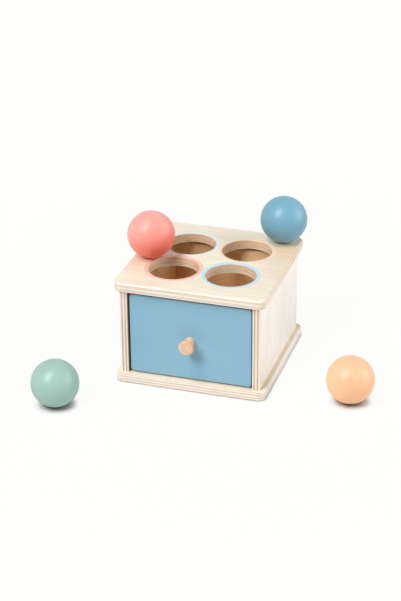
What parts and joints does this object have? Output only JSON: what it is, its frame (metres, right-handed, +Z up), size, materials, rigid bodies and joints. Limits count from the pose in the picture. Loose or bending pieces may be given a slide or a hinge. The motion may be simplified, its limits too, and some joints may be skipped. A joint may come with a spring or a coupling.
{
  "type": "object permanence box",
  "caption": "Wooden toy box with round ball holes in its top, a painted pull-out drawer with a turned knob that catches the balls, and loose painted wooden balls.",
  "frame": {"origin": "middle of the base board's underside, on the surface that the box stands on", "axes": "+Z up, -Y the way the drawer opens, +X to the right as seen from the drawer"},
  "size_m": [0.317, 0.2435, 0.1558],
  "materials": {
    "board_plywood": "pale birch plywood, sanded, clear water-based lacquer",
    "top_plywood": "pale birch plywood, sanded, clear lacquer, painted rings round the holes",
    "panel_plywood": "pale birch plywood, sanded, clear lacquer",
    "back_plywood": "thin birch plywood, sanded",
    "drawer_plywood": "thin birch plywood, sanded",
    "bottom_plywood": "thin birch plywood, sanded",
    "drawer_paint": "satin light blue paint on plywood",
    "knob_beech": "turned beech, clear lacquer",
    "dowel_beech": "fluted beech dowel, bare",
    "zinc_steel": "zinc-plated steel",
    "coral_paint": "satin coral paint on a turned wooden ball",
    "blue_paint": "satin light blue paint on a turned wooden ball",
    "mint_paint": "satin mint green paint on a turned wooden ball",
    "peach_paint": "satin peach paint on a turned wooden ball"
  },
  "bodies": {
    "box": {"base_board": "board_plywood", "left_side_panel": "panel_plywood", "right_side_panel": "panel_plywood", "back_panel": "back_plywood", "top_board": "top_plywood", "base_screws": "zinc_steel", "top_dowels": "dowel_beech", "back_panel_pins": "zinc_steel"},
    "drawer": {"drawer_front": "drawer_paint", "drawer_left_side": "drawer_plywood", "drawer_right_side": "drawer_plywood", "drawer_back": "drawer_plywood", "drawer_bottom": "bottom_plywood", "drawer_pins": "zinc_steel", "drawer_knob": "knob_beech", "knob_screw": "zinc_steel"},
    "coral_ball": {"ball_coral": "coral_paint"},
    "blue_ball": {"ball_blue": "blue_paint"},
    "mint_ball": {"ball_mint": "mint_paint"},
    "peach_ball": {"ball_peach": "peach_paint"}
  },
  "joints": [
    {"name": "drawer_slide", "type": "slide", "parent": "box", "child": "drawer", "axis": [0, -1, 0], "range_m": [0, 0.11]},
    {"name": "coral_ball_lift", "type": "slide", "parent": "box", "child": "coral_ball", "axis": [0, 0, 1], "range_m": [0, 0.1]},
    {"name": "blue_ball_lift", "type": "slide", "parent": "box", "child": "blue_ball", "axis": [0, 0, 1], "range_m": [0, 0.1]},
    {"name": "mint_ball_lift", "type": "slide", "parent": "box", "child": "mint_ball", "axis": [0, 0, 1], "range_m": [0, 0.1]},
    {"name": "peach_ball_lift", "type": "slide", "parent": "box", "child": "peach_ball", "axis": [0, 0, 1], "range_m": [0, 0.1]}
  ]
}
